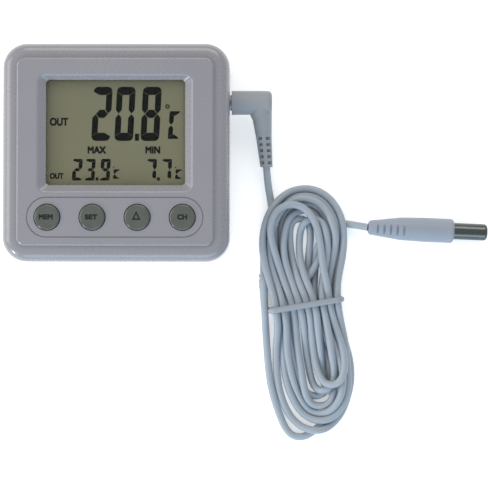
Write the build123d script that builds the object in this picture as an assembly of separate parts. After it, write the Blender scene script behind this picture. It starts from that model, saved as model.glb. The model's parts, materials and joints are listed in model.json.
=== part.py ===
from build123d import *
import math
import os

# Maximum minimum thermometer: a square display unit that lies on its back, with a probe lead
# plugged into its right side.  Millimetres.  Origin at the middle of the unit's back face,
# +Z out of the display, +X to the right and +Y to the top of the display.

# ---------------------------------------------------------------- driving dimensions
CASE_W = 96.8
CASE_H = 93.2
CORNER_R = 10.4
SPLIT_Z = 6.4            # the joint between the rear and the front shell
RING_Z = 22.8            # the outer ring of the face
PANEL_Z = 24.0           # the raised panel of the face
ROOF_Z = 20.8            # inside of the front wall
EDGE_R = 5.0             # the big rounded edge of the face
WALL = 2.0
PANEL_W = 83.6
PANEL_H = 79.8
PANEL_R = 3.6

DISPLAY_Y = 7.7          # middle of the display
RECESS_W = 65.7
RECESS_H = 49.9
RECESS_R = 3.2
BRIM_EDGE_R = 1.8        # rounding of the recess's outer edge
VIEW_W = 59.2            # the part of the glass that shows
VIEW_H = 44.8
VIEW_R = 1.7
VIEW_Y = 8.3             # middle of the part of the glass that shows
VIEW_Z = 21.3            # foot of the recess's sloped walls

BUTTON_Y = -27.8
BUTTON_PITCH = 19.05
BUTTON_R = 5.45
BUTTON_HOLE_R = 5.75
BUTTON_COUNT = 4
BUTTON_ROOF_Z = 22.0     # inside of the front wall behind the buttons
GROOVE_W = 75.0          # the fine groove round the row of buttons
GROOVE_H = 17.3
GROOVE_CUT = 0.5
GROOVE_DEEP = 0.4

BOARD_Z = 14.4
BOARD_T = 1.2
CASE_SCREW_X = 39.0
CASE_SCREW_Y = 37.5
BOARD_SCREW_X = 36.4
BOARD_SCREW_Y = (-12.0, 30.0)

SOCKET_Y = 22.2
SOCKET_Z = 11.0
PLUG_R = 1.75            # 3.5 mm plug
PLUG_SWIVEL = 12.0       # degrees that the cord's weight has turned the plug in its socket
PLUG_BARREL_END = 66.6
PLUG_END = 27.8          # from the socket's axis to the end of the strain relief
PLUG_LEG = [(61.4, 0, 5.1), (61.9, 5.4, 4.65), (62.4, 7.5, 4.15), (63.05, 14.4, 3.45), (64.3, PLUG_END, 2.7)]
RELIEF_SLOTS = 5         # along the strain relief
RELIEF_START = 15.05
RELIEF_PITCH = 2.67
RELIEF_SLOT_W = 1.3
RELIEF_SLOT_DEEP = 1.6

BAY_X = 26.0             # half the width of the battery bay
BAY_LOW_Y = 4.0
BAY_HIGH_Y = 27.0
BAY_ROOF_Z = 12.9
CELL_R = 5.25            # AAA
CELL_LENGTH = 44.5
CELL_Z = 7.45
CELL_Y = (9.65, 20.75)
CONTACT_X = 25.2         # face of the contact plates
CONTACT_T = 0.4

DOOR_HINGE_Y = 5.0
DOOR_HINGE_Z = 1.0
STAND_HINGE_Y = -3.0
STAND_HINGE_Z = 1.6

CORD_D = 3.2
TIE_D = 2.6
HANK_HEIGHT = 12.4
TIE_CENTRE = (81.6, -65.3)
TIE_TURN = 9.6           # degrees
TIE_WIDTH = 31.0         # of the tie's centre line
TIE_TOP_Z = 9.8          # of the tie's centre line
TIE_TAIL = [(-14.0, 0.0), (-18.5, 0.2), (-17.3, 12.5)]     # from the tie's middle, flat on the surface

GRIP_START = (108.7, -31.45)
GRIP_TURN = -2.45        # degrees
GRIP_R = 5.25
GRIP_LENGTH = 37.1
GRIP_TAIL_R = 3.0        # at the cord's end
GRIP_FLARE = 0.139       # growth of the radius along the ribbed end
GRIP_SLOTS = 5
GRIP_SLOT_START = 3.95
GRIP_SLOT_PITCH = 2.82
GRIP_SLOT_DEEP = 0.75
GRIP_SLOT_LEAN = 11.0    # degrees that the slots sit round the grip
BARREL_R = 3.6
PROBE_LENGTH = 51.7

# The cord's route outside the hank, from its exit at the plug and to the probe's grip.
ROUTE_FROM_PLUG = [(64.3, -4.99, 5.22), (64.7, -9.7, 4.0), (65.3, -14.4, 2.75), (66.2, -19.2, 1.7)]
ROUTE_TO_PROBE = [(95.6, -29.5, 1.65), (100.0, -29.9, 2.15), (104.4, -30.6, 3.6), (108.7, -31.45, 5.3)]

# The outer shape of the tied hank, hand-laid: a wide upper loop, a waist and a long lower loop.
HANK_OUTLINE = [
    (81.0, -11.2), (92.6, -14.6), (99.9, -31.6), (97.4, -62.0), (102.4, -95.0), (96.0, -116.5),
    (78.0, -126.4), (65.6, -112.6), (62.0, -86.0), (61.0, -62.0), (59.8, -34.0), (66.2, -15.8),
]


# ---------------------------------------------------------------- helpers
def slab(width, height, radius, low, high, centre_y=0.0):
    """A block with rounded upright corners, from one height to another."""
    return Pos(0, centre_y, low) * extrude(RectangleRounded(width, height, radius), high - low)


def box(x_span, y_span, z_span):
    """A plain block given by its spans."""
    size = [high - low for low, high in (x_span, y_span, z_span)]
    centre = [(high + low) / 2 for low, high in (x_span, y_span, z_span)]
    return Pos(*centre) * Box(*size)


def upright(x, y, radius, low, high):
    """An upright cylinder."""
    return Pos(x, y, (low + high) / 2) * Cylinder(radius, high - low)


def along_x(y, z, radius, x_low, x_high):
    """A cylinder that lies along X."""
    return Pos((x_low + x_high) / 2, y, z) * Rot(0, 90, 0) * Cylinder(radius, x_high - x_low)


def edges_at(solid, height):
    """The level edges of a solid at one height."""
    level = solid.edges().filter_by_position(Axis.Z, height - 0.01, height + 0.01)
    return [edge for edge in level if abs(edge.bounding_box().size.Z) < 0.01]


def corners(x, y):
    """The four places at plus or minus x and y."""
    return [(sx * x, sy * y) for sx in (-1, 1) for sy in (-1, 1)]


def board_screw_places():
    return [(side * BOARD_SCREW_X, y) for side in (-1, 1) for y in BOARD_SCREW_Y]


def button_x(index):
    return (index - (BUTTON_COUNT - 1) / 2) * BUTTON_PITCH


# ---------------------------------------------------------------- display unit: casings
def make_front_case():
    shell = slab(CASE_W, CASE_H, CORNER_R, SPLIT_Z, RING_Z)
    shell = fillet(edges_at(shell, RING_Z), EDGE_R)
    panel = slab(PANEL_W, PANEL_H, PANEL_R, ROOF_Z, PANEL_Z)
    panel = fillet(edges_at(panel, PANEL_Z), 0.95) - display_recess()
    brim = [edge for edge in edges_at(panel, PANEL_Z) if abs(edge.center().X) < RECESS_W / 2 + 0.1
            and abs(edge.center().Y - DISPLAY_Y) < RECESS_H / 2 + 0.1]
    panel = fillet(brim, BRIM_EDGE_R)
    shell = shell + panel
    cavity = slab(CASE_W - 2 * WALL, CASE_H - 2 * WALL, CORNER_R - WALL, SPLIT_Z, ROOF_Z)
    cavity = fillet(edges_at(cavity, ROOF_Z), EDGE_R - WALL)
    shell = shell - cavity
    shell = shell - slab(77.2, 17.0, 2.0, ROOF_Z - 1, BUTTON_ROOF_Z, BUTTON_Y)
    rebate = slab(CASE_W - 1.8, CASE_H - 1.8, CORNER_R - 0.9, SPLIT_Z, SPLIT_Z + 1.3)
    shell = shell - rebate
    for x, y in corners(CASE_SCREW_X, CASE_SCREW_Y):
        shell = shell + upright(x, y, 3.2, SPLIT_Z, ROOF_Z + 0.5)
        shell = shell - upright(x, y, 1.13, SPLIT_Z, 15.0)
    for x, y in board_screw_places():
        shell = shell + upright(x, y, 2.3, BOARD_Z + BOARD_T, ROOF_Z + 0.5)
        shell = shell - upright(x, y, 0.83, BOARD_Z + BOARD_T, 19.9)
    shell = shell - display_recess()
    shell = shell - button_groove()
    for index in range(BUTTON_COUNT):
        shell = shell - upright(button_x(index), BUTTON_Y, BUTTON_HOLE_R, ROOF_Z, PANEL_Z + 1)
    return shell - along_x(SOCKET_Y, SOCKET_Z, 3.25, CASE_W / 2 - WALL - 1, CASE_W / 2 + 1)


def display_recess():
    """The sloped walls round the glass, and the opening in front of it."""
    foot = Pos(0, VIEW_Y, VIEW_Z) * RectangleRounded(VIEW_W, VIEW_H, VIEW_R)
    brim = Pos(0, DISPLAY_Y, PANEL_Z) * RectangleRounded(RECESS_W, RECESS_H, RECESS_R)
    walls = loft([foot, brim])
    opening = slab(VIEW_W, VIEW_H, VIEW_R, ROOF_Z - 0.5, VIEW_Z, VIEW_Y)
    return walls + opening


def button_groove():
    outer = SlotOverall(GROOVE_W, GROOVE_H)
    inner = SlotOverall(GROOVE_W - 2 * GROOVE_CUT, GROOVE_H - 2 * GROOVE_CUT)
    return Pos(0, BUTTON_Y, PANEL_Z - GROOVE_DEEP) * extrude(outer - inner, GROOVE_DEEP + 0.5)


def make_rear_case():
    tray = slab(CASE_W, CASE_H, CORNER_R, 0, SPLIT_Z)
    tray = fillet(edges_at(tray, 0), 2.5)
    cavity = slab(CASE_W - 2 * WALL, CASE_H - 2 * WALL, CORNER_R - WALL, WALL, SPLIT_Z)
    cavity = fillet(edges_at(cavity, WALL), 1.5)
    tray = tray - cavity
    tongue = slab(CASE_W - 2.0, CASE_H - 2.0, CORNER_R - 1.0, SPLIT_Z - 0.5, SPLIT_Z + 1.1)
    tongue_inside = slab(CASE_W - 2 * WALL, CASE_H - 2 * WALL, CORNER_R - WALL, SPLIT_Z - 1, SPLIT_Z + 2)
    tray = tray + (tongue - tongue_inside)
    for x, y in corners(CASE_SCREW_X, CASE_SCREW_Y):
        tray = tray + upright(x, y, 3.3, 1, SPLIT_Z)
        tray = tray - upright(x, y, 2.6, -1, 3.0)
        tray = tray - upright(x, y, 1.35, 0, SPLIT_Z + 1)
    tray = add_battery_bay(tray)
    tray = add_stand_recess(tray)
    return add_keyhole(tray)


def add_battery_bay(tray):
    wall = 1.6
    bay = box((-BAY_X - wall, BAY_X + wall), (BAY_LOW_Y - wall, BAY_HIGH_Y + wall), (1, BAY_ROOF_Z + 1))
    tray = tray + bay
    tray = tray - box((-BAY_X, BAY_X), (BAY_LOW_Y, BAY_HIGH_Y), (-1, BAY_ROOF_Z))
    for side in (-1, 1):
        tray = tray + box((side * 10 - 2, side * 10 + 2), (BAY_HIGH_Y - 0.8, BAY_HIGH_Y + 0.5), (2, 3))
        tray = tray - along_x(DOOR_HINGE_Y, DOOR_HINGE_Z, 0.65, side * (BAY_X + 0.4) - 0.8,
                              side * (BAY_X + 0.4) + 0.8)
    for y in CELL_Y:
        tray = tray - box((-CONTACT_X - 0.6, -CONTACT_X + 0.2), (y - 1.8, y + 1.8), (12, 15))
    return tray - upright(0, BAY_HIGH_Y, 5.0, -1, 1.2)


def add_stand_recess(tray):
    tray = tray + box((-18.8, 18.8), (-40.0, 0.2), (1, 4.6))
    tray = tray - box((-16, 16), (-38.0, STAND_HINGE_Y + 1.6), (-1, 3.2))
    tray = tray - along_x(STAND_HINGE_Y, STAND_HINGE_Z, 1.05, -17.4, 17.4)
    return tray - upright(0, -38.0, 5.0, -1, 1.2)


def add_keyhole(tray):
    """A hanging hole for a screw's head, with a closed pocket behind it."""
    tray = tray + box((-6, 6), (28.0, 42.8), (1, 7.2))
    tray = tray - box((-5, 5), (29.8, 41.8), (WALL, 6.2))
    tray = tray - upright(0, 34.2, 4.0, -1, WALL + 1)
    tray = tray - upright(0, 39.2, 2.1, -1, WALL + 1)
    return tray - box((-2.1, 2.1), (34.2, 39.2), (-1, WALL + 1))


def make_case_screws():
    screws = [upright(x, y, 2.2, 1.4, 3.0) + upright(x, y, 1.1, 2.9, 13.6)
              for x, y in corners(CASE_SCREW_X, CASE_SCREW_Y)]
    slots = [box((x - 1.6, x + 1.6), (y - 0.25, y + 0.25), (1.3, 2.1))
             + box((x - 0.25, x + 0.25), (y - 1.6, y + 1.6), (1.3, 2.1))
             for x, y in corners(CASE_SCREW_X, CASE_SCREW_Y)]
    return Compound([screw - slot for screw, slot in zip(screws, slots)])


# ---------------------------------------------------------------- display unit: display and board
def make_display_window():
    return slab(65.2, 49.8, 2.0, 19.4, ROOF_Z, DISPLAY_Y)


def make_lcd_panel():
    return slab(64.0, 48.0, 0.5, 17.2, 19.2, DISPLAY_Y)


def make_lcd_frame():
    frame = slab(66.8, 51.0, 1.5, BOARD_Z + BOARD_T, 19.3, DISPLAY_Y)
    frame = frame - slab(64.4, 48.4, 0.6, 17.1, 20, DISPLAY_Y)
    return frame - slab(61.6, 48.4, 0.6, 15, 18, DISPLAY_Y)


def make_contact_strip(centre_y):
    return box((-28, 28), (centre_y - 1, centre_y + 1), (BOARD_Z + BOARD_T, 17.2))


def make_circuit_board():
    board = slab(78.0, 67.2, 2.0, BOARD_Z, BOARD_Z + BOARD_T)
    board = board + slab(68.0, 20.0, 2.0, BOARD_Z, BOARD_Z + BOARD_T, -26.2)
    for x, y in board_screw_places():
        board = board - upright(x, y, 1.1, 14, 16)
    return board


def make_board_screws():
    return Compound([upright(x, y, 1.7, BOARD_Z - 1.1, BOARD_Z) + upright(x, y, 0.8, BOARD_Z - 0.1, 19.3)
                     for x, y in board_screw_places()])


def make_controller_chip():
    """The black drop of resin over the bare chip, under the board."""
    drop = Pos(0, -20, BOARD_Z - 0.8) * Cylinder(6.0, 1.6)
    return fillet(edges_at(drop, BOARD_Z - 1.6), 1.0)


def make_timing_crystal():
    return Pos(15, -22, BOARD_Z - 1.05) * Rot(0, 90, 0) * Cylinder(1.0, 6.0)


def make_button_cap(index):
    x = button_x(index)
    cap = upright(x, BUTTON_Y, BUTTON_R, 21.4, PANEL_Z + 0.8)
    cap = fillet(edges_at(cap, PANEL_Z + 0.8), 0.75)
    cap = cap + upright(x, BUTTON_Y, 6.5, 20.6, 21.7)
    return cap + upright(x, BUTTON_Y, 2.2, 18.5, 20.7)


def make_keypad_mat():
    return slab(67.6, 14.0, 2.0, BOARD_Z + BOARD_T, 16.4, BUTTON_Y)


def make_key_dome(index):
    place = Pos(button_x(index), BUTTON_Y, 16.4)
    dome = place * Cone(4.0, 2.4, 1.9, align=(Align.CENTER, Align.CENTER, Align.MIN))
    return dome - place * Cone(3.2, 1.9, 1.2, align=(Align.CENTER, Align.CENTER, Align.MIN))


# ---------------------------------------------------------------- display unit: socket and power
def make_socket_housing():
    inner_wall = CASE_W / 2 - WALL
    housing = box((32.6, inner_wall - 0.05), (SOCKET_Y - 4.2, SOCKET_Y + 4.2), (7.2, BOARD_Z - 0.1))
    housing = housing + along_x(SOCKET_Y, SOCKET_Z, 3.2, inner_wall - 1, CASE_W / 2 - 0.15)
    housing = housing - along_x(SOCKET_Y, SOCKET_Z, PLUG_R + 0.1, 33.4, CASE_W / 2 + 1)
    return housing - box((34.0, 44.0), (SOCKET_Y - 1.6, SOCKET_Y + 1.6), (12.2, BOARD_Z))


def make_socket_contact():
    leaf = box((34.4, 43.6), (SOCKET_Y - 1.3, SOCKET_Y + 1.3), (13.0, 13.3))
    return leaf + box((34.4, 34.8), (SOCKET_Y - 1.3, SOCKET_Y + 1.3), (13.0, BOARD_Z - 0.05))


def cell_direction(index):
    """The lower cell's button points to +X, and the upper one's to -X."""
    return 1 if index == 0 else -1


def make_battery(index):
    side = cell_direction(index)
    nub_end = side * CONTACT_X
    shoulder = nub_end - side * 1.2
    foot = nub_end - side * CELL_LENGTH
    body = along_x(CELL_Y[index], CELL_Z, CELL_R, min(foot, shoulder), max(foot, shoulder))
    body = fillet(body.edges().filter_by(GeomType.CIRCLE), 0.5)
    return body + along_x(CELL_Y[index], CELL_Z, 1.9, min(shoulder - side, nub_end), max(shoulder - side, nub_end))


def make_battery_springs():
    return Compound([make_spring(index) for index in range(2)])


def make_spring(index):
    """A coil of wire between a cell's flat end and its contact plate."""
    side = cell_direction(index)
    wire_r = 0.3
    gap = 2 * CONTACT_X - CELL_LENGTH
    coil = Helix(pitch=1.3, height=gap - 2 * wire_r - 0.1, radius=3.4)
    section = Plane(origin=coil @ 0, z_dir=coil % 0) * Circle(wire_r)
    spring = sweep(section, path=coil)
    return Pos(-side * (CONTACT_X - wire_r - 0.05), CELL_Y[index], CELL_Z) * Rot(0, side * 90, 0) * spring


def make_battery_terminals():
    plates = []
    for y in CELL_Y:
        plate = box((-CONTACT_X - CONTACT_T, -CONTACT_X), (y - 5.0, y + 5.0), (3.0, 11.8))
        plates.append(plate + box((-CONTACT_X - CONTACT_T, -CONTACT_X), (y - 1.4, y + 1.4), (11, BOARD_Z - 0.05)))
    return Compound(plates)


def make_battery_link():
    return box((CONTACT_X, CONTACT_X + CONTACT_T), (CELL_Y[0] - 5.0, CELL_Y[1] + 5.0), (3.0, 11.8))


# ---------------------------------------------------------------- display unit: moving covers
def make_battery_door():
    half = BAY_X - 0.2
    door = box((-half, half), (DOOR_HINGE_Y, BAY_HIGH_Y - 0.2), (0.2, 1.8))
    door = door + along_x(DOOR_HINGE_Y, DOOR_HINGE_Z, 0.8, -half, half)
    door = door + along_x(DOOR_HINGE_Y, DOOR_HINGE_Z, 0.6, -half - 1.1, half + 1.1)
    for rib in range(4):
        y = BAY_HIGH_Y - 2.6 - 1.6 * rib
        door = door + box((-7, 7), (y - 0.4, y + 0.4), (0.05, 0.4))
    return door


def make_fold_out_stand():
    half = 15.6
    leg = box((-half, half), (-37.6, STAND_HINGE_Y), (0.3, 2.9))
    leg = fillet(leg.edges().filter_by(Axis.Z).sort_by(Axis.Y)[:2], 3.0)
    leg = leg - slab(19.0, 15.0, 3.0, 0, 4, -18.5)
    leg = leg + along_x(STAND_HINGE_Y, STAND_HINGE_Z, 1.3, -half, half)
    return leg + along_x(STAND_HINGE_Y, STAND_HINGE_Z, 1.0, -half - 1.6, half + 1.6)


# ---------------------------------------------------------------- probe lead: plug
def seat_plug(solid):
    """Swivels a plug piece about its own axis and puts it into the socket."""
    return Pos(0, SOCKET_Y, SOCKET_Z) * Rot(PLUG_SWIVEL, 0, 0) * solid


def make_plug_body():
    barrel = along_x(0, 0, 5.15, 49.2, PLUG_BARREL_END)
    barrel = fillet(barrel.edges().filter_by(GeomType.CIRCLE).sort_by(Axis.X)[-1], 2.0)
    down = Plane(origin=(0, 0, 0), x_dir=(1, 0, 0), z_dir=(0, -1, 0))
    leg = loft([down.offset(reach) * Pos(x, 0, 0) * Circle(radius) for x, reach, radius in PLUG_LEG], ruled=True)
    body = barrel + leg
    for rib in range(RELIEF_SLOTS):
        body = body - relief_slot(RELIEF_START + RELIEF_PITCH * rib)
    return seat_plug(body)


def relief_slot(reach):
    """Pockets in the front and the back of the strain relief, each side of a narrow spine."""
    (x_start, reach_start, r_start), (x_end, reach_end, r_end) = PLUG_LEG[-2:]
    share = (reach - reach_start) / (reach_end - reach_start)
    x = x_start + (x_end - x_start) * share
    radius = r_start + (r_end - r_start) * share
    pockets = Box(2 * radius - 0.7, RELIEF_SLOT_W, 12.0) - Box(1.7, 2.0, 12.0)
    pockets = pockets - Box(12.0, 2.0, 2 * (radius - RELIEF_SLOT_DEEP))
    return Pos(x, -reach, 0) * pockets


def make_plug_sleeve():
    sleeve = along_x(0, 0, PLUG_R, 39.0, 49.2)
    return seat_plug(sleeve + along_x(0, 0, 3.4, CASE_W / 2 + 0.15, 49.2))


def make_plug_ring():
    return seat_plug(along_x(0, 0, PLUG_R, 38.4, 39.0))


def make_plug_tip():
    """The plug's point, with the neck that its contact springs into."""
    profile = make_face(Polyline(
        (38.4, 0), (38.4, PLUG_R), (37.6, PLUG_R), (36.9, 1.25), (36.2, PLUG_R), (34.9, 1.2), (34.0, 0.5),
        (34.0, 0), close=True))
    return seat_plug(revolve(profile, Axis.X))


# ---------------------------------------------------------------- probe lead: cord
def cord_tube(route):
    """A tube along straight runs, with an arc at each turn as large as its two runs allow."""
    points = [Vector(*point) for point in route]
    radii = []
    for before, point, after in zip(points, points[1:], points[2:]):
        turn = math.radians((point - before).get_angle(after - point))
        shorter = min((point - before).length, (after - point).length)
        radii.append(0.45 * shorter / math.tan(turn / 2))
    path = FilletPolyline(*points, radius=radii)
    tube = sweep(Plane(origin=path @ 0, z_dir=path % 0) * Circle(CORD_D / 2), path=path)
    section = math.pi * (CORD_D / 2) ** 2
    print("radii", [round(radius, 1) for radius in radii], "length", round(path.length, 2),
          "volume ratio", round(tube.volume / (section * path.length), 4))
    return tube


def tie_ring(radius):
    """The tie's loop round the waist of the hank, with its short twisted tail on the left."""
    low = TIE_D / 2
    bend = 2.4
    outline = Pos(0, (low + TIE_TOP_Z) / 2) * RectangleRounded(TIE_WIDTH, TIE_TOP_Z - low, bend)
    loop = (Plane.XZ * outline).wire()
    ring = sweep(Plane(origin=loop @ 0, z_dir=loop % 0) * Circle(radius), path=loop)
    tail_line = FilletPolyline(*[Vector(x, y, low) for x, y in TIE_TAIL], radius=2.4)
    tail = sweep(Plane(origin=tail_line @ 0, z_dir=tail_line % 0) * Circle(radius), path=tail_line)
    return Pos(TIE_CENTRE[0], TIE_CENTRE[1], 0) * Rot(0, 0, TIE_TURN) * (ring + tail)


def make_cord_hank(cords):
    """The outer shape of the wound cord, with a saddle and a channel at its waist for the tie."""
    outline = make_face(Spline(*[Vector(x, y) for x, y in HANK_OUTLINE], periodic=True))
    hank = extrude(outline, HANK_HEIGHT)
    saddle_r = 70.0
    saddle_z = TIE_TOP_Z - TIE_D / 2
    saddle = Pos(TIE_CENTRE[0], TIE_CENTRE[1], saddle_z + saddle_r) * Rot(0, 90, TIE_TURN) * Cylinder(saddle_r, 80)
    hank = hank - saddle
    hank = hank - tie_ring(TIE_D / 2 + 0.05)
    for cord in cords:
        hank = hank - cord
    return hank


# ---------------------------------------------------------------- probe lead: probe
def seat_probe(solid):
    """Lays a probe piece, modelled along +X from the cord's end of the grip, on the surface."""
    return Pos(GRIP_START[0], GRIP_START[1], GRIP_R + 0.05) * Rot(0, 0, GRIP_TURN) * solid


def make_probe_grip():
    side = Polyline((0, 0), (0, GRIP_TAIL_R), (14.0, GRIP_TAIL_R + 14.0 * GRIP_FLARE), (24.0, GRIP_R),
                    (GRIP_LENGTH, GRIP_R), (GRIP_LENGTH, 0), close=True)
    profile = make_face(side)
    grip = revolve(profile, Axis.X)
    ends = grip.edges().filter_by(GeomType.CIRCLE).sort_by(Axis.X)
    grip = fillet(ends[-1], 1.4)
    grip = fillet(grip.edges().filter_by(GeomType.CIRCLE).sort_by(Axis.X)[0], 1.2)
    for rib in range(GRIP_SLOTS):
        grip = grip - grip_slot(GRIP_SLOT_START + GRIP_SLOT_PITCH * rib)
    grip = grip - along_x(0, 0, BARREL_R + 0.02, 28.0, GRIP_LENGTH + 1)
    return seat_probe(grip)


def grip_slot(x):
    """A shallow slot over the top of the grip and one under it."""
    floor_z = GRIP_TAIL_R + x * GRIP_FLARE - GRIP_SLOT_DEEP
    slot = box((x - 0.45, x + 0.45), (-8, 8), (floor_z, 8)) + box((x - 0.45, x + 0.45), (-8, 8), (-8, -floor_z))
    return Rot(GRIP_SLOT_LEAN, 0, 0) * slot


def make_probe_barrel():
    barrel = along_x(0, 0, BARREL_R, 28.1, PROBE_LENGTH)
    barrel = fillet(barrel.edges().filter_by(GeomType.CIRCLE).sort_by(Axis.X)[-1], 1.3)
    return seat_probe(barrel - along_x(0, 0, BARREL_R - 0.4, 28.0, PROBE_LENGTH - 0.6))


def sensor_bead():
    return Pos(46.0, 0, 0) * Sphere(1.2)


def sensor_wires():
    return [along_x(0, side * 0.7, 0.25, 30.0, 45.2) - sensor_bead() for side in (-1, 1)]


def make_probe_potting():
    filling = along_x(0, 0, BARREL_R - 0.42, 32.0, PROBE_LENGTH - 0.65)
    filling = filling - sensor_bead()
    for wire in sensor_wires():
        filling = filling - wire
    return seat_probe(filling)


# ---------------------------------------------------------------- the whole part
def make_parts():
    parts = {
        "front_case": make_front_case(),
        "rear_case": make_rear_case(),
        "case_screws": make_case_screws(),
        "display_window": make_display_window(),
        "lcd_panel": make_lcd_panel(),
        "lcd_frame": make_lcd_frame(),
        "contact_strip_lower": make_contact_strip(-14.8),
        "contact_strip_upper": make_contact_strip(30.2),
        "circuit_board": make_circuit_board(),
        "board_screws": make_board_screws(),
        "controller_chip": make_controller_chip(),
        "timing_crystal": make_timing_crystal(),
        "keypad_mat": make_keypad_mat(),
        "socket_housing": make_socket_housing(),
        "socket_contact": make_socket_contact(),
        "battery_lower": make_battery(0),
        "battery_upper": make_battery(1),
        "battery_springs": make_battery_springs(),
        "battery_terminals": make_battery_terminals(),
        "battery_link": make_battery_link(),
        "battery_door": make_battery_door(),
        "fold_out_stand": make_fold_out_stand(),
    }
    for index in range(BUTTON_COUNT):
        parts[f"button_cap_{index + 1}"] = make_button_cap(index)
        parts[f"key_dome_{index + 1}"] = make_key_dome(index)
    from_plug = cord_tube(ROUTE_FROM_PLUG)
    to_probe = cord_tube(ROUTE_TO_PROBE)
    parts["cord_from_plug"] = from_plug
    parts["cord_to_probe"] = to_probe
    parts["cord_hank"] = make_cord_hank([from_plug, to_probe])
    parts["cord_tie"] = tie_ring(TIE_D / 2)
    parts["plug_body"] = make_plug_body() - from_plug
    parts["plug_sleeve"] = make_plug_sleeve()
    parts["plug_ring"] = make_plug_ring()
    parts["plug_tip"] = make_plug_tip()
    parts["probe_grip"] = make_probe_grip() - to_probe
    parts["probe_barrel"] = make_probe_barrel()
    parts["probe_potting"] = make_probe_potting()
    parts["sensor_bead"] = seat_probe(sensor_bead())
    parts["sensor_wires"] = seat_probe(Compound(sensor_wires()))
    return parts


os.makedirs("parts", exist_ok=True)
for node, solid in make_parts().items():
    export_step(solid, f"parts/{node}.step")
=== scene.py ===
import json
import math

import bpy
import numpy as np
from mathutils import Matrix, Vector


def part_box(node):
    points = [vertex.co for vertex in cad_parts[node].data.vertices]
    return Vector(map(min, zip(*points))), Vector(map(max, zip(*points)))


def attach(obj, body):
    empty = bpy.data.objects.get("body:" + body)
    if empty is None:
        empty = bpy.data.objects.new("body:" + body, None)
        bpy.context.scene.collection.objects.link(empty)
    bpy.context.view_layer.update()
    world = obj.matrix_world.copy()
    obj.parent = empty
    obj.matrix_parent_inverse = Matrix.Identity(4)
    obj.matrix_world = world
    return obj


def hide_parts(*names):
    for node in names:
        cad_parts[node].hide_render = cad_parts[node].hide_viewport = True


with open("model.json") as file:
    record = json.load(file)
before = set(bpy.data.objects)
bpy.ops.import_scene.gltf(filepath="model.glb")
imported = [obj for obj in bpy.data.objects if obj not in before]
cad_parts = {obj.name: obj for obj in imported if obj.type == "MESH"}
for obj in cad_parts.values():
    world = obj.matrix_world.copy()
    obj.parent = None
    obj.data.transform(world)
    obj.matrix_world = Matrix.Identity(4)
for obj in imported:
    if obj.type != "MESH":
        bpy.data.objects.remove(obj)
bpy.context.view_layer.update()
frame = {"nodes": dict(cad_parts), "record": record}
MM = 0.001

# ---------------------------------------------------------------- sizes shared with the CAD model, in metres
LCD_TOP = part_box("lcd_panel")[1][2]
BUTTON_PITCH = 0.01905
BUTTON_Y = -0.0278
BUTTON_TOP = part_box("button_cap_1")[1][2]

CORD_D = 0.0032
TIE_D = 0.0026
TIE_CENTRE = (0.0816, -0.0653)
TIE_TURN = math.radians(9.6)
TIE_TAIL = ((0.06333, -0.06819), (0.06246, -0.05586))     # lies on the surface, under the outermost strand

# The cord's way out of the plug and into the probe's grip.
ROUTE_FROM_PLUG = [(0.0643, -0.00499, 0.00522), (0.0647, -0.0097, 0.004), (0.0653, -0.0144, 0.00275),
                   (0.0662, -0.0192, 0.0017)]
ROUTE_TO_PROBE = [(0.0956, -0.0295, 0.00165), (0.1, -0.0299, 0.00215), (0.1044, -0.0306, 0.0036),
                  (0.1087, -0.03145, 0.0053)]


# ---------------------------------------------------------------- camera, lights and floor
SENSOR_WIDTH_MM = 36.0
LENS_MM = 92.2
CAMERA_PLACE = (0.0574, -0.0463, 0.5509)
CAMERA_TURN = (0.79, 0.3, 0.07)          # in degrees, from straight down

SKY_COLOR = (0.97, 0.985, 1.0, 1.0)
SKY_STRENGTH = 0.65
# Each softbox: its name, place, target, size, power in watts, and colour.
SOFTBOXES = [
    ("left", (-0.8, 0.1, 0.5), (0.0, 0.0, 0.0), (0.7, 0.6), 3.5, (1.0, 0.985, 0.965)),
    ("top_side", (0.15, 0.85, 0.6), (0.03, -0.03, 0.0), (0.9, 0.5), 3.6, (1.0, 0.975, 0.93)),
    ("window_side", (0.12, -0.85, 0.42), (0.05, -0.04, 0.0), (0.9, 0.5), 4.0, (0.5, 0.76, 1.0)),
    ("low_left", (-0.42, -0.4, 0.2), (-0.02, -0.03, 0.01), (0.1, 0.1), 1.0, (0.95, 0.975, 1.0)),
]

FLOOR_REACH = 1.6
FLOOR_STEPS = 24
FLOOR_MIDDLE = (0.05, -0.04, -0.00005)
FLOOR_WAVE = 0.00004
# the card glows: painted light that fills the shade round the pieces and in the hank's gaps
FLOOR_GLOW = 0.36                        # keeps the card white in the hank's gaps


def add_camera():
    data = bpy.data.cameras.new("photo_camera")
    data.sensor_width = SENSOR_WIDTH_MM
    data.lens = LENS_MM
    camera = bpy.data.objects.new("photo_camera", data)
    camera.location = CAMERA_PLACE
    camera.rotation_euler = tuple(math.radians(angle) for angle in CAMERA_TURN)
    bpy.context.scene.collection.objects.link(camera)
    bpy.context.scene.camera = camera


def add_softbox(name, place, target, size, power, color):
    data = bpy.data.lights.new(name, "AREA")
    data.shape = "RECTANGLE"
    data.size, data.size_y = size
    data.energy = power
    data.color = color
    light = bpy.data.objects.new(name, data)
    light.location = place
    light.rotation_euler = (Vector(target) - Vector(place)).to_track_quat("-Z", "Y").to_euler()
    light.visible_camera = False
    bpy.context.scene.collection.objects.link(light)


def light_the_scene():
    world = bpy.data.worlds.new("studio")
    world.use_nodes = True
    sky = world.node_tree.nodes["Background"]
    sky.inputs["Color"].default_value = SKY_COLOR
    sky.inputs["Strength"].default_value = SKY_STRENGTH
    bpy.context.scene.world = world
    bpy.context.scene.view_settings.view_transform = "Standard"
    for softbox in SOFTBOXES:
        add_softbox(*softbox)


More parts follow.
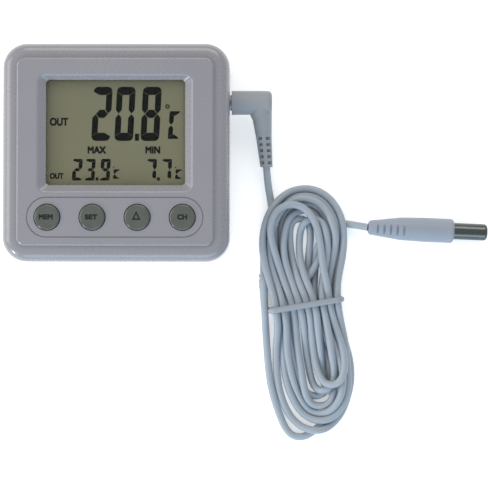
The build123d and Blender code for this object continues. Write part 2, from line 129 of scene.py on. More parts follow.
def add_floor():
    """A wide sheet of white card, very slightly uneven."""
    pace = 2 * FLOOR_REACH / FLOOR_STEPS
    row = FLOOR_STEPS + 1
    places = [(FLOOR_MIDDLE[0] - FLOOR_REACH + pace * i, FLOOR_MIDDLE[1] - FLOOR_REACH + pace * j,
               FLOOR_MIDDLE[2] - FLOOR_WAVE * math.sin(i * 1.7) * math.cos(j * 1.3))
              for j in range(row) for i in range(row)]
    faces = [(j * row + i, j * row + i + 1, (j + 1) * row + i + 1, (j + 1) * row + i)
             for j in range(FLOOR_STEPS) for i in range(FLOOR_STEPS)]
    floor = mesh_piece("floor_card", places, faces, None)
    # the card's glow is painted light: it lifts the shadows under and between the pieces
    floor.data.materials.append(plain_surface(
        "floor_card", (0.95, 0.95, 0.95), (0.8, 0.92), 60, 0.02, 0.00002, 0.012, glow=FLOOR_GLOW))


# ---------------------------------------------------------------- pieces
def mesh_piece(name, places, faces, body):
    mesh = bpy.data.meshes.new(name)
    mesh.from_pydata([tuple(map(float, place)) for place in places], [], faces)
    mesh.update()
    piece = bpy.data.objects.new(name, mesh)
    bpy.context.scene.collection.objects.link(piece)
    if body:
        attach(piece, body)
    return piece


def nurbs_line(name, lines, depth):
    """A round strand along smooth lines: the places are the control points."""
    curve = bpy.data.curves.new(name, "CURVE")
    curve.dimensions = "3D"
    curve.bevel_depth = depth
    curve.bevel_resolution = 5
    curve.resolution_u = 3
    curve.use_fill_caps = True
    for places in lines:
        spline = curve.splines.new("NURBS")
        spline.points.add(len(places) - 1)
        for point, place in zip(spline.points, places):
            point.co = (*map(float, place), 1.0)
        spline.order_u = 3
        spline.use_endpoint_u = True
    piece = bpy.data.objects.new(name, curve)
    bpy.context.scene.collection.objects.link(piece)
    return piece


# ---------------------------------------------------------------- materials
def start_material(name):
    material = bpy.data.materials.new(name)
    material.use_nodes = True
    tree = material.node_tree
    shader = tree.nodes["Principled BSDF"]
    place = tree.nodes.new("ShaderNodeTexCoord")
    return material, tree, shader, place.outputs["Object"]


def add_noise(tree, place, scale, detail=3.0, stretch=(1.0, 1.0, 1.0)):
    mapping = tree.nodes.new("ShaderNodeMapping")
    mapping.inputs["Scale"].default_value = stretch
    noise = tree.nodes.new("ShaderNodeTexNoise")
    noise.inputs["Scale"].default_value = scale
    noise.inputs["Detail"].default_value = detail
    tree.links.new(place, mapping.inputs["Vector"])
    tree.links.new(mapping.outputs["Vector"], noise.inputs["Vector"])
    return noise.outputs["Fac"]


def add_ramp(tree, value, stops):
    ramp = tree.nodes.new("ShaderNodeValToRGB")
    while len(ramp.color_ramp.elements) < len(stops):
        ramp.color_ramp.elements.new(0.5)
    for element, (position, color) in zip(ramp.color_ramp.elements, stops):
        element.position = position
        element.color = (*color, 1.0)
    tree.links.new(value, ramp.inputs["Fac"])
    return ramp.outputs["Color"]


def add_range(tree, value, low, high):
    node = tree.nodes.new("ShaderNodeMapRange")
    node.inputs["From Min"].default_value = 0.3
    node.inputs["From Max"].default_value = 0.7
    node.inputs["To Min"].default_value = low
    node.inputs["To Max"].default_value = high
    tree.links.new(value, node.inputs["Value"])
    return node.outputs["Result"]


def add_bump(tree, shader, height, strength, distance):
    bump = tree.nodes.new("ShaderNodeBump")
    bump.inputs["Strength"].default_value = strength
    bump.inputs["Distance"].default_value = distance
    tree.links.new(height, bump.inputs["Height"])
    tree.links.new(bump.outputs["Normal"], shader.inputs["Normal"])


def shade(color, factor):
    return tuple(channel * factor for channel in color)


def plain_surface(name, color, rough, grain, strength, distance, tint=0.04, metallic=0.0, patch=45,
                  stretch=(1.0, 1.0, 1.0), other=None, coat=0.0, glow=0.0, shine=0.5):
    """A moulded, painted or rubbed surface: patchy colour, and a fine grain in its gloss and its height.

    rough is the range of its roughness, grain and patch are the scales of its two noises, strength and distance
    belong to its bump, tint is how far its colour strays, and other is a second colour that it drifts to."""
    material, tree, shader, place = start_material(name)
    patches = add_noise(tree, place, patch, 4.0)
    fine = add_noise(tree, place, grain, 2.0, stretch)
    low, high = shade(color, 1 - tint), shade(other or color, 1 + tint)
    tree.links.new(add_ramp(tree, patches, [(0.3, low), (0.7, high)]), shader.inputs["Base Color"])
    tree.links.new(add_range(tree, fine, *rough), shader.inputs["Roughness"])
    add_bump(tree, shader, fine, strength, distance)
    shader.inputs["Metallic"].default_value = metallic
    shader.inputs["Coat Weight"].default_value = coat
    shader.inputs["Coat Roughness"].default_value = 0.12
    shader.inputs["Specular IOR Level"].default_value = shine
    shader.inputs["Emission Color"].default_value = (1.0, 1.0, 1.0, 1.0)
    shader.inputs["Emission Strength"].default_value = glow
    return material


def clear_window():
    """Polished clear plastic: see-through, with a mirror that grows towards its edges."""
    material, tree, shader, place = start_material("clear_window")
    fine = add_noise(tree, place, 300, 2.0)
    through = tree.nodes.new("ShaderNodeBsdfTransparent")
    tint = add_ramp(tree, add_noise(tree, place, 40, 3.0), [(0.3, (0.955, 0.965, 0.955)), (0.7, (0.975, 0.98, 0.97))])
    tree.links.new(tint, through.inputs["Color"])
    slant = tree.nodes.new("ShaderNodeLayerWeight")
    slant.inputs["Blend"].default_value = 0.5
    gloss = add_ramp(tree, slant.outputs["Facing"],
                     [(0.0, (0.007, 0.007, 0.007)), (0.3, (0.012, 0.012, 0.012)), (0.6, (0.06, 0.06, 0.06)),
                      (0.85, (0.3, 0.3, 0.3)), (1.0, (0.85, 0.85, 0.85))])
    mix = tree.nodes.new("ShaderNodeMixShader")
    tree.links.new(gloss, mix.inputs["Fac"])
    tree.links.new(through.outputs["BSDF"], mix.inputs[1])
    mirror = tree.nodes.new("ShaderNodeBsdfAnisotropic")
    tree.links.new(add_range(tree, fine, 0.03, 0.07), mirror.inputs["Roughness"])
    tree.links.new(mirror.outputs["BSDF"], mix.inputs[2])
    tree.links.new(mix.outputs["Shader"], tree.nodes["Material Output"].inputs["Surface"])
    tree.nodes.remove(shader)
    return material


# ---------------------------------------------------------------- the display's liquid crystal segments
SEGMENTS = {"0": "abcdef", "2": "abged", "3": "abgcd", "7": "abc", "8": "abcdefg", "9": "abcdfg", "C": "adef"}
INK_DEPTH = 0.00004


def digit_outlines(digit, width, height, bar, beam, corner, gap):
    """Outlines of a digit's segments, in mm from its lower left corner. Bars stand and beams lie."""
    middle = height / 2
    tip = bar * 0.5
    turn = [(corner * (1 - math.cos(a)), corner * (1 - math.sin(a))) for a in (0.0, 0.52, 1.05, 1.57)]
    top = [(x, height - y) for x, y in turn] + [(width - x, height - y) for x, y in reversed(turn)]
    top += [(width - bar, height - beam), (bar, height - beam)]
    left = [(0.0, height - corner - gap), (0.0, middle + tip * 1.25 + gap), (tip, middle + gap),
            (bar, middle + tip * 1.25 + gap), (bar, height - beam - gap)]
    across = [(tip + gap, middle), (tip + beam * 0.45 + gap, middle + beam / 2),
              (width - tip - beam * 0.45 - gap, middle + beam / 2), (width - tip - gap, middle),
              (width - tip - beam * 0.45 - gap, middle - beam / 2), (tip + beam * 0.45 + gap, middle - beam / 2)]
    shapes = {
        "a": top, "f": left, "g": across,
        "b": [(width - x, y) for x, y in left], "d": [(x, height - y) for x, y in top],
        "e": [(x, height - y) for x, y in left], "c": [(width - x, height - y) for x, y in left],
    }
    return [shapes[letter] for letter in SEGMENTS[digit]]


def turned_way(outline):
    """The outline, counter-clockwise."""
    area = sum(a[0] * b[1] - b[0] * a[1] for a, b in zip(outline, outline[1:] + outline[:1]))
    return outline if area > 0 else outline[::-1]


# Where the copies of a word lie, in weights from its middle, so that its strokes come out thicker.
THICKENING = ((0, 0), (-1, -1), (1, -1), (1, 1), (-1, 1), (-1, 0), (1, 0))


class Ink:
    """Closed flat prisms and rings, gathered into one piece."""

    def __init__(self, level):
        self.level = level
        self.places = []
        self.faces = []

    def prism(self, outline):
        outline = turned_way(outline)
        start, count = len(self.places), len(outline)
        for level in (self.level, self.level + INK_DEPTH):
            self.places += [(x * MM, y * MM, level) for x, y in outline]
        self.faces.append([start + count + i for i in range(count)])
        self.faces.append([start + i for i in reversed(range(count))])
        for i in range(count):
            after = (i + 1) % count
            self.faces.append([start + i, start + after, start + count + after, start + count + i])

    def ring(self, outer, inner):
        start, count = len(self.places), len(outer)
        for level in (self.level, self.level + INK_DEPTH):
            for outline in (outer, inner):
                self.places += [(x * MM, y * MM, level) for x, y in outline]
        for i in range(count):
            after = (i + 1) % count
            low_out, low_in, high_out, high_in = (start + count * k for k in range(4))
            self.faces.append([high_out + i, high_out + after, high_in + after, high_in + i])
            self.faces.append([low_out + after, low_out + i, low_in + i, low_in + after])
            self.faces.append([low_out + i, low_out + after, high_out + after, high_out + i])
            self.faces.append([low_in + after, low_in + i, high_in + i, high_in + after])

    def digit(self, digit, left, bottom, width, height, bar, beam, corner, gap, lean):
        for outline in digit_outlines(digit, width, height, bar, beam, corner, gap):
            self.prism([(left + x + lean * y, bottom + y) for x, y in outline])

    def block(self, left, bottom, width, height, lean=0.05):
        self.prism([(left, bottom), (left + width, bottom), (left + width + lean * height, bottom + height),
                    (left + lean * height, bottom + height)])

    def word(self, text, left, bottom, width, height, weight):
        """Plain lettering that fills the given box, thickened by a weight, all in mm."""
        curve = bpy.data.curves.new(text, "FONT")
        curve.body = text
        curve.extrude = 0.5
        carrier = bpy.data.objects.new(text, curve)
        bpy.context.scene.collection.objects.link(carrier)
        bpy.context.view_layer.update()
        mesh = bpy.data.meshes.new_from_object(carrier.evaluated_get(bpy.context.evaluated_depsgraph_get()))
        found = np.array([vertex.co for vertex in mesh.vertices])
        low, high = found.min(axis=0), found.max(axis=0)
        shares = (found - low) / (high - low)
        for layer, (aside, above) in enumerate(THICKENING):
            start = len(self.places)
            corner_x, corner_y = left + weight * (1 + aside), bottom + weight * (1 + above)
            depth = INK_DEPTH * (1 + 0.03 * layer)
            for x, y, z in shares:
                self.places.append(((corner_x + x * (width - 2 * weight)) * MM,
                                    (corner_y + y * (height - 2 * weight)) * MM, self.level + z * depth))
            self.faces += [[start + index for index in face.vertices] for face in mesh.polygons]
        bpy.data.objects.remove(carrier)
        bpy.data.meshes.remove(mesh)

    def piece(self, name, body, slot, material):
        made = mesh_piece(name, self.places, self.faces, body)
        made.data.materials.append(material)
        return made


def circle(x, y, radius, count=28):
    return [(x + radius * math.cos(2 * math.pi * i / count), y + radius * math.sin(2 * math.pi * i / count))
            for i in range(count)]


def add_display():
    """What the display shows, in mm from the middle of the unit."""
    ink = Ink(LCD_TOP + 0.01 * MM)
    big = {"width": 8.0, "height": 23.1, "bar": 2.55, "beam": 3.5, "corner": 2.0, "gap": 0.13, "lean": 0.05}
    for digit, left in (("2", -10.6), ("0", -0.75), ("8", 10.35)):
        ink.digit(digit, left, 4.9, **big)
    ink.block(8.0, 4.95, 1.75, 3.0)
    ink.digit("C", 22.05, 5.8, 4.45, 11.8, 1.95, 1.9, 0.5, 0.1, 0.07)
    ink.ring(circle(21.95, 19.6, 0.95), circle(21.95, 19.6, 0.45))
    small = {"width": 4.1, "height": 9.2, "bar": 1.55, "beam": 1.3, "corner": 0.7, "gap": 0.1, "lean": 0.06}
    for digit, left in (("2", -18.8), ("3", -13.25), ("9", -6.85), ("7", 12.85), ("7", 19.3)):
        ink.digit(digit, left, -12.0, **small)
    for left in (-8.65, 17.5):
        ink.block(left, -12.0, 1.15, 1.35)
    for left in (-1.25, 25.2):
        ink.digit("C", left, -11.25, 2.6, 4.0, 1.2, 0.95, 0.3, 0.03, 0.07)
        ink.prism(circle(left + 0.25, -6.4, 0.27, 12))
    ink.word("OUT", -28.25, 11.35, 7.85, 3.4, 0.15)
    ink.word("OUT", -28.15, -11.3, 5.8, 2.5, 0.12)
    ink.word("MAX", -12.1, -0.5, 7.85, 3.1, 0.17)
    ink.word("MIN", 12.55, -0.5, 6.3, 3.1, 0.17)
    ink.piece("lcd_segments", "display_unit", "lcd_glass",
              plain_surface("lcd_ink", (0.004, 0.0048, 0.004), (0.3, 0.42), 900, 0.02, 0.000002, 0.2, shine=0.08))


def add_legends():
    """Printed words on the buttons."""
    print_ink = plain_surface("legend_ink", (0.01, 0.012, 0.011), (0.35, 0.5), 2200, 0.05, 0.000004, 0.2,
                              shine=0.25)
    middle_y = BUTTON_Y / MM
    # For each button: its word, the word's width and height, and how far it stands to the right, in mm.
    words = {1: ("MEM", 6.0, 2.2, -0.4), 2: ("SET", 5.3, 2.2, -0.3), 4: ("CH", 4.2, 2.3, 0.0)}
    for number in range(1, 5):
        ink = Ink(BUTTON_TOP - 0.01 * MM)
        x = (number - 2.5) * BUTTON_PITCH / MM
        if number in words:
            text, width, height, aside = words[number]
            ink.word(text, x - width / 2 + aside, middle_y - height / 2 + 0.1, width, height, 0.15)
        else:
            corners = [(x - 2.25, middle_y - 1.15), (x + 1.55, middle_y - 1.15), (x - 0.35, middle_y + 2.65)]
            centre = (x - 0.35, middle_y + 0.12)
            inner = [tuple(c + (p - c) * 0.5 for p, c in zip(corner, centre)) for corner in corners]
            ink.ring(corners, inner)
        ink.piece(f"legend_{number}", f"button_{number}", "button_silver", print_ink)


# ---------------------------------------------------------------- the cord, in mm until add_cord()
# The tied turns. Each row is one turn: upper left, waist down, lower left, bottom, lower right,
# waist up, upper right and top. A place is (x, y, z) in mm, with the way that the cord heads there.
DOWN, UP, LEFT, RIGHT = (0, -1), (0, 1), (-1, 0), (1, 0)
LOW, MIDDLE, HIGH = 1.6, 4.7, 7.8
TIE_LAYERS = (4.2, 6.85)


def waist(aside, layer):
    """A place under the tie, at a distance from the tie's middle, in its lower or its upper layer."""
    return (TIE_CENTRE[0] / MM + math.cos(TIE_TURN) * aside, TIE_CENTRE[1] / MM + math.sin(TIE_TURN) * aside,
            TIE_LAYERS[layer])


TURNS = [
    [((68.3, -37.0, LOW), DOWN), (waist(-12.2, 0), (0.1, -1)), ((71.8, -88.0, LOW), (0.12, -1)),
     ((74.8, -102.0, LOW), (0.3, -1)), ((87.5, -117.8, LOW), RIGHT), ((100.6, -96.0, MIDDLE), UP),
     (waist(13.2, 1), (-0.1, 1)), ((98.6, -36.0, 5.8), UP), ((82.0, -13.0, MIDDLE), LEFT)],
    [((61.9, -36.0, HIGH), DOWN), (waist(-12.4, 1), (0.2, -1)), ((68.6, -92.0, MIDDLE), (0.0, -1)),
     ((69.8, -105.0, MIDDLE), (0.3, -1)), ((86.0, -122.2, MIDDLE), RIGHT), ((100.4, -98.0, LOW), UP),
     (waist(13.0, 0), (-0.1, 1)), ((96.8, -34.0, 4.2), UP), ((81.5, -15.6, LOW), LEFT)],
    [((63.2, -40.0, LOW), DOWN), ((63.5, -62.0, MIDDLE), (0.0, -1)), ((65.1, -92.0, LOW), (0.05, -1)),
     ((69.0, -110.0, LOW), (0.4, -1)), ((78.6, -125.8, LOW), RIGHT), ((86.5, -120.0, LOW), (1, 0.75)),
     ((97.2, -98.0, LOW), UP), (waist(9.8, 0), (-0.1, 1)), ((95.0, -36.0, HIGH), UP), ((80.5, -16.7, MIDDLE), LEFT)],
    [((65.1, -42.0, MIDDLE), (0.1, -1)), (waist(-9.2, 1), (0.3, -1)), ((73.8, -89.0, MIDDLE), (0.24, -1)),
     ((88.6, -115.4, MIDDLE), RIGHT), ((98.4, -97.0, MIDDLE), UP), (waist(6.6, 0), (-0.1, 1)),
     ((93.2, -33.0, 4.2), UP), ((83.0, -19.2, LOW), LEFT)],
    [((69.4, -31.0, LOW), DOWN), ((72.2, -45.0, LOW), (0.2, -1)), (waist(-8.8, 0), (0.15, -1)),
     ((75.8, -89.0, LOW), (0.26, -1)), ((88.2, -108.2, LOW), RIGHT), ((95.0, -96.0, LOW), (-0.1, 1)),
     (waist(-3.2, 0), (-0.35, 1)), ((90.0, -40.0, LOW), (0.1, 1)), ((82.0, -21.4, LOW), LEFT)],
    [((70.6, -40.0, MIDDLE), DOWN), (waist(-2.2, 1), (0.35, -1)), ((82.2, -89.0, MIDDLE), (0.26, -1)),
     ((90.0, -106.6, MIDDLE), RIGHT), ((94.6, -93.0, MIDDLE), UP), (waist(7.0, 1), (-0.15, 1)),
     ((91.6, -38.0, MIDDLE), UP), ((85.5, -23.8, MIDDLE), LEFT)],
    [((78.2, -43.0, MIDDLE), DOWN), (waist(4.0, 1), (0.25, -1)), ((88.4, -86.0, MIDDLE), (0.12, -1)),
     ((94.8, -108.0, LOW), RIGHT), ((99.6, -94.0, LOW), UP), (waist(0.2, 0), (-0.3, 1)),
     ((84.4, -42.0, LOW), UP), ((78.2, -24.2, MIDDLE), LEFT)],
    [((74.5, -40.0, MIDDLE), DOWN), (waist(0.9, 1), (0.3, -1)), ((85.6, -88.0, MIDDLE), (0.26, -1)),
     ((93.2, -103.8, HIGH), RIGHT), ((98.2, -92.0, HIGH), (-0.05, 1)), (waist(10.1, 1), (-0.2, 1)),
     ((88.2, -38.0, HIGH), UP), ((75.0, -19.4, HIGH), LEFT)],
    [((65.1, -32.0, HIGH), DOWN), ((70.2, -47.5, HIGH), (0.5, -1)), (waist(-5.7, 1), (0.4, -1)),
     ((77.8, -88.0, MIDDLE), (0.26, -1)), ((89.4, -112.6, MIDDLE), RIGHT), ((96.8, -97.0, LOW), UP),
     (waist(3.4, 0), (-0.1, 1)), ((85.8, -45.0, LOW), (0.1, 1))],
]

STRAND = CORD_D / MM
LAY_STEP = 2.0                 # from one place of a laid turn to the next
LAY_SLACK = 1.06               # how much longer a curved sweep is than its straight line
SWEEP_REACH = 0.39             # share of a sweep's length that each of its handles takes

SETTLE_ROUNDS = 500
EASE_ROUNDS = 50               # the last rounds, in which pushes and pulls fade out
PAIR_ROUNDS = 8                # how often the strands that are near each other are looked up
HOLD_SPREAD = 3.0              # places each side of a held one that are held too
HOLD_PULL = (0.15, 0.15, 0.12)
HOME_PULL = (0.05, 0.05, 0.0)
EVENING = 0.35                 # how far a place moves to the middle of its neighbours
BEND_RADIUS = 6.5              # the cord starts to resist bends of about this radius
SUPPLE, STIFF = 0.02, 0.95     # weight of a bend's straightening, gentle and sharp
SINKING = 0.03
TOUCHING = 1.01                # strands push each other from this many diameters
LEVEL_GAP = 0.4                # strands at one height are parted by at least this much
CROSSING = 0.93                # cosine under which two strands cross, and part upwards
SPRING = 0.4
TIE_INSIDE = 15.5              # half of the tie's inner width
TIE_FLAT = 1.4                 # half of the stretch that the tie holds flat
TIE_SLOPE = 0.35
NO_LIMIT = 99.0


def one_sweep(start, start_way, end, end_way, count):
    """Part of a turn from one laid place to the next."""
    start, end = np.array(start, float), np.array(end, float)
    reach = SWEEP_REACH * np.linalg.norm((end - start)[:2])
    first = start + reach * np.array((*start_way, 0.0)) / math.hypot(*start_way)
    last = end - reach * np.array((*end_way, 0.0)) / math.hypot(*end_way)
    t = np.linspace(0, 1, count, endpoint=False)[:, None]
    return (1 - t) ** 3 * start + 3 * (1 - t) ** 2 * t * first + 3 * (1 - t) * t ** 2 * last + t ** 3 * end


def under_tie(place):
    x, y, z = place
    return z in TIE_LAYERS and abs(x - TIE_CENTRE[0] / MM) < 14 and abs(y - TIE_CENTRE[1] / MM) < 5


def lay_turns():
    """The turns before they settle, and the numbers of the places that the tie or the lead holds."""
    before, after = np.array(ROUTE_FROM_PLUG) / MM, np.array(ROUTE_TO_PROBE) / MM
    places = [(before[-1], (0.15, -1))] + [place for turn in TURNS for place in turn] + [(after[0], RIGHT)]
    sweeps = [before[-2:-1], (before[-2:-1] + before[-1:]) / 2]
    held, total = [0, 1, 2], 2
    for (start, start_way), (end, end_way) in zip(places, places[1:]):
        count = max(3, round(np.linalg.norm(np.array(end) - start) * LAY_SLACK / LAY_STEP))
        sweeps.append(one_sweep(start, start_way, end, end_way, count))
        if under_tie(start):
            held.append(total)
        total += count
    sweeps += [after[:1], (after[:1] + after[1:2]) / 2, after[1:2]]
    return np.concatenate(sweeps), held + [total, total + 1, total + 2]


def near_pairs(points, arc):
    """Places near each other that aren't near along the cord."""
    apart = np.linalg.norm(points[:, None] - points[None], axis=2)
    near = (apart < STRAND * 1.9) & (np.abs(arc[:, None] - arc[None]) > 2.6 * STRAND)
    return np.nonzero(np.triu(near))


def drift(points, home, pull, ease):
    """The move back towards where the turns were laid, out of uneven places and sharp bends, and down."""
    move = ease * pull * (home - points)
    move[1:-1] += EVENING * ((points[:-2] + points[2:]) / 2 - points[1:-1])
    bend = points[:-4] - 2 * points[2:-2] + points[4:]
    tight = np.linalg.norm(bend, axis=1)[:, None] / (2 * LAY_STEP) ** 2 * BEND_RADIUS
    move[2:-2] += (SUPPLE + (STIFF - 0.4 * ease) * np.clip(tight - 0.7, 0, 1)) * bend / 2
    move[:, 2] -= SINKING
    return move


def push_apart(points, home, heading, pairs, ease):
    """The move of strands that touch: aside where they run together, up and down where they cross."""
    first, second = pairs
    push = points[first] - points[second]
    distance = np.linalg.norm(push, axis=1)
    hit = distance < STRAND * TOUCHING
    a, b, push = first[hit], second[hit], push[hit]
    over = np.sign(home[a, 2] - home[b, 2] + 1e-6)
    level = np.abs(push[:, 2]) < LEVEL_GAP
    push[level, 2] = LEVEL_GAP * over[level]
    crossing = np.abs((heading[a] * heading[b]).sum(axis=1)) < CROSSING
    push[crossing] *= np.array((0.25, 0.25, 1.0))
    push *= (ease * (STRAND * TOUCHING - distance[hit]) * 0.5 / np.linalg.norm(push, axis=1))[:, None]
    shift, hits = np.zeros_like(points), np.zeros(len(points))
    for index, way in ((a, push), (b, -push)):
        np.add.at(shift, index, way)
        np.add.at(hits, index, 1)
    return shift / np.maximum(hits, 1)[:, None] ** 0.5


def keep_lengths(points, rest):
    """The move that brings each place back to its distance from the next."""
    run = np.diff(points, axis=0)
    length = np.linalg.norm(run, axis=1)
    stretch = run * (SPRING * (length - rest) / length)[:, None]
    shift = np.zeros_like(points)
    shift[:-1] += stretch
    shift[1:] -= stretch
    return shift


def heights(points):
    """The lowest and the highest that each place may be, for the floor, the tie's two sides and its tail."""
    tie = np.array((*TIE_CENTRE, 0)) / MM
    along = np.array((math.cos(TIE_TURN), math.sin(TIE_TURN), 0))
    across = np.array((-math.sin(TIE_TURN), math.cos(TIE_TURN), 0))
    beside = np.maximum(np.abs((points - tie) @ across) - TIE_FLAT, 0) * TIE_SLOPE
    inside = np.abs((points - tie) @ along) < TIE_INSIDE
    root, end = np.array(TIE_TAIL) / MM
    tail_r, tail_run = TIE_D / MM / 2, end - root
    share = np.clip((points[:, :2] - root) @ tail_run / (tail_run @ tail_run), 0, 1)[:, None]
    gap = np.linalg.norm(points[:, :2] - root - share * tail_run, axis=1)
    over_tail = tail_r + np.sqrt(np.maximum((tail_r + STRAND / 2) ** 2 - gap ** 2, 0))
    lowest = np.where(inside, np.maximum(TIE_LAYERS[0] - beside, STRAND / 2), np.maximum(over_tail, STRAND / 2))
    highest = np.where(inside, TIE_LAYERS[1] + 0.05 + beside, NO_LIMIT)
    return lowest, highest


def settle(points, held):
    """Lets the laid turns come to rest: they keep their length, resist sharp bends, push each other aside
    or up, sink to the floor, and stay between the tie's two sides."""
    home = points.copy()
    rest = np.linalg.norm(np.diff(points, axis=0), axis=1)
    arc = np.concatenate([[0], np.cumsum(rest)])
    number = np.arange(len(points))
    grip = np.max([np.exp(-((number - index) / HOLD_SPREAD) ** 2) for index in held], axis=0)
    pull = grip[:, None] * np.array(HOLD_PULL) + np.array(HOME_PULL)
    free = np.ones((len(points), 1))
    free[:3] = free[-3:] = 0
    for step in range(SETTLE_ROUNDS):
        if step % PAIR_ROUNDS == 0:
            pairs = near_pairs(points, arc)
        heading = np.gradient(points, axis=0)
        heading /= np.linalg.norm(heading, axis=1)[:, None]
        ease = min(1.0, (SETTLE_ROUNDS - step) / EASE_ROUNDS)
        points = points + drift(points, home, pull, ease) * free
        for _ in range(3):
            points = points + free * push_apart(points, home, heading, pairs, ease)
        for _ in range(2):
            points = points + free * keep_lengths(points, rest)
        points[:, 2] = np.clip(points[:, 2], *heights(points))
    return points


def add_cord():
    turns = settle(*lay_turns()) * MM
    route = ROUTE_FROM_PLUG[:2] + [tuple(place) for place in turns] + ROUTE_TO_PROBE[2:]
    cord = nurbs_line("probe_cord", [route], CORD_D / 2)
    cord.data.materials.append(plain_surface(
        "cord_sheath", (0.31, 0.355, 0.405), (0.38, 0.5), 1500, 0.12, 0.00002, 0.03, patch=60))
    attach(cord, "probe_lead")
    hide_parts("cord_from_plug", "cord_hank", "cord_to_probe")
    return cord


TWIST_START = (0.0627, -0.0579, 0.0017)
TWIST_END = (0.0625, -0.0524, 0.0019)
TWIST_STEPS = 20
TWIST_REACH = 0.00075          # from the middle of the twist to the middle of each end
TWIST_R = 0.0008


def add_tie_tails():
    """The tie's two ends, twisted once round each other beside the hank."""
    start, end = np.array(TWIST_START), np.array(TWIST_END)
    way = (end - start) / np.linalg.norm(end - start)
    side = np.cross(way, (0, 0, 1))
    side /= np.linalg.norm(side)
    lift = np.cross(side, way)
    lines = []
    for phase in (0.0, math.pi):
        line = []
        for i in range(TWIST_STEPS):
            share = i / (TWIST_STEPS - 1)
            angle = phase + share * 2.0 * math.pi
            turn = side * math.cos(angle) + lift * math.sin(angle)
            line.append(start + (end - start) * share + TWIST_REACH * turn)
        lines.append(line)
    strands = nurbs_line("tie_strands", lines, TWIST_R)
    bpy.context.view_layer.update()
    mesh = bpy.data.meshes.new_from_object(strands.evaluated_get(bpy.context.evaluated_depsgraph_get()))
    mesh.materials.clear()
    bpy.data.objects.remove(strands)
    tails = bpy.data.objects.new("tie_tails", mesh)
    bpy.context.scene.collection.objects.link(tails)
    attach(tails, "probe_lead")
    return tails


# ---------------------------------------------------------------- finishes of the CAD pieces
def battery_jacket():
    """A plain sleeve with a copper band round one end."""
    material, tree, shader, place = start_material("battery_jacket")
    split = tree.nodes.new("ShaderNodeSeparateXYZ")
    tree.links.new(place, split.inputs["Vector"])
    stretch = tree.nodes.new("ShaderNodeMapRange")
    stretch.inputs["From Min"].default_value = -0.024
    stretch.inputs["From Max"].default_value = 0.024
    tree.links.new(split.outputs["X"], stretch.inputs["Value"])
    bands = add_ramp(tree, stretch.outputs["Result"],
                     [(0.0, (0.03, 0.032, 0.036)), (0.66, (0.036, 0.038, 0.042)), (0.67, (0.42, 0.2, 0.09)),
                      (0.94, (0.46, 0.22, 0.1)), (0.95, (0.6, 0.6, 0.6))])
    tree.links.new(bands, shader.inputs["Base Color"])
    fine = add_noise(tree, place, 700, 2.0)
    tree.links.new(add_range(tree, fine, 0.22, 0.32), shader.inputs["Roughness"])
    add_bump(tree, shader, fine, 0.05, 0.00001)
    return material


def board_laminate():
    """Green solder mask over faint tracks."""
    material, tree, shader, place = start_material("board_laminate")
    tracks = tree.nodes.new("ShaderNodeTexVoronoi")
    tracks.distance = "MANHATTAN"
    tracks.inputs["Scale"].default_value = 420
    tree.links.new(place, tracks.inputs["Vector"])
    mask = add_ramp(tree, tracks.outputs["Distance"], [(0.25, (0.03, 0.15, 0.06)), (0.4, (0.045, 0.21, 0.09))])
    tree.links.new(mask, shader.inputs["Base Color"])
    fine = add_noise(tree, place, 1200, 2.0)
    tree.links.new(add_range(tree, fine, 0.3, 0.42), shader.inputs["Roughness"])
    add_bump(tree, shader, tracks.outputs["Distance"], 0.1, 0.00002)
    return material


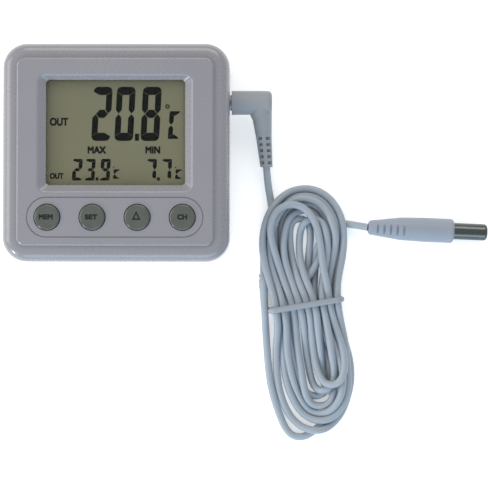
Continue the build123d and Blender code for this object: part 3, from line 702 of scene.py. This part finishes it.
def finish_materials():
    """One finish for each material slot of the record."""
    case = (0.245, 0.241, 0.262)
    along_x = (0.03, 1.0, 1.0)
    return {
        "case_plastic": plain_surface("case_plastic", case, (0.25, 0.29), 1400, 0.02, 0.000008, 0.02,
                                      other=(0.248, 0.24, 0.26), coat=0.45),
        "window_plastic": clear_window(),
        "lcd_glass": plain_surface("lcd_glass", (0.202, 0.18, 0.11), (0.5, 0.62), 2600, 0.04, 0.000005, 0.03,
                                   patch=32, other=(0.173, 0.17, 0.107)),
        "frame_plastic": plain_surface("frame_plastic", (0.6, 0.6, 0.6), (0.45, 0.6), 900, 0.06, 0.00002),
        "strip_rubber": plain_surface("strip_rubber", (0.05, 0.05, 0.055), (0.6, 0.75), 3000, 0.1, 0.00002,
                                      stretch=(0.1, 1, 1)),
        "board_laminate": board_laminate(),
        "screw_steel": plain_surface("screw_steel", (0.55, 0.55, 0.55), (0.28, 0.42), 2500, 0.08, 0.00001,
                                     metallic=1.0),
        "chip_resin": plain_surface("chip_resin", (0.02, 0.02, 0.021), (0.4, 0.55), 2500, 0.1, 0.00001, 0.2),
        "crystal_metal": plain_surface("crystal_metal", (0.6, 0.6, 0.58), (0.2, 0.35), 2500, 0.08, 0.00001,
                                       metallic=1.0, stretch=(1, 1, 0.1)),
        "keypad_rubber": plain_surface("keypad_rubber", (0.4, 0.4, 0.41), (0.55, 0.7), 900, 0.08, 0.00002),
        "button_silver": plain_surface("button_silver", (0.085, 0.095, 0.083), (0.3, 0.42), 5200, 0.16, 0.00001,
                                       0.07, metallic=0.35, patch=260, other=(0.092, 0.099, 0.087),
                                       coat=0.6),
        "socket_plastic": plain_surface("socket_plastic", (0.02, 0.02, 0.022), (0.4, 0.55), 1200, 0.08, 0.00002,
                                        0.15),
        # painted shade: the sleeve's metal is far darker than bare nickel, standing in for its shaded neck
        "contact_metal": plain_surface("contact_metal", (0.24, 0.245, 0.25), (0.34, 0.46), 2600, 0.05, 0.00001,
                                       metallic=1.0),
        "battery_jacket": battery_jacket(),
        "plug_plastic": plain_surface("plug_plastic", (0.27, 0.29, 0.317), (0.48, 0.62), 1300, 0.12, 0.00003, 0.035,
                                      other=(0.265, 0.28, 0.3)),
        "cord_plastic": plain_surface("cord_plastic", (0.31, 0.355, 0.405), (0.38, 0.5), 1500, 0.12, 0.00002, 0.03),
        "tie_plastic": plain_surface("tie_plastic", (0.28, 0.31, 0.35), (0.4, 0.55), 1800, 0.12, 0.00002, 0.04),
        "grip_plastic": plain_surface("grip_plastic", (0.27, 0.305, 0.36), (0.42, 0.55), 1300, 0.1, 0.00002, 0.025),
        # painted shade: the steel is far darker than bare steel, standing in for the dark reflections on the barrel
        "barrel_steel": plain_surface("barrel_steel", (0.1, 0.108, 0.104), (0.17, 0.28), 5000, 0.05, 0.000008, 0.05,
                                      metallic=1.0, stretch=along_x),
        "potting_resin": plain_surface("potting_resin", (0.05, 0.05, 0.05), (0.45, 0.6), 1500, 0.1, 0.00002, 0.15),
    }


def finish_nodes(finishes):
    for row in frame["record"]["subparts"]:
        node = frame["nodes"][row["node"]]
        for place in node.material_slots:
            place.material = finishes[row["material_slot"]]


add_camera()
light_the_scene()
cord = add_cord()
finishes = finish_materials()
finish_nodes(finishes)
tails = add_tie_tails()
tails.data.materials.append(finishes["tie_plastic"])
add_display()
add_legends()
add_floor()
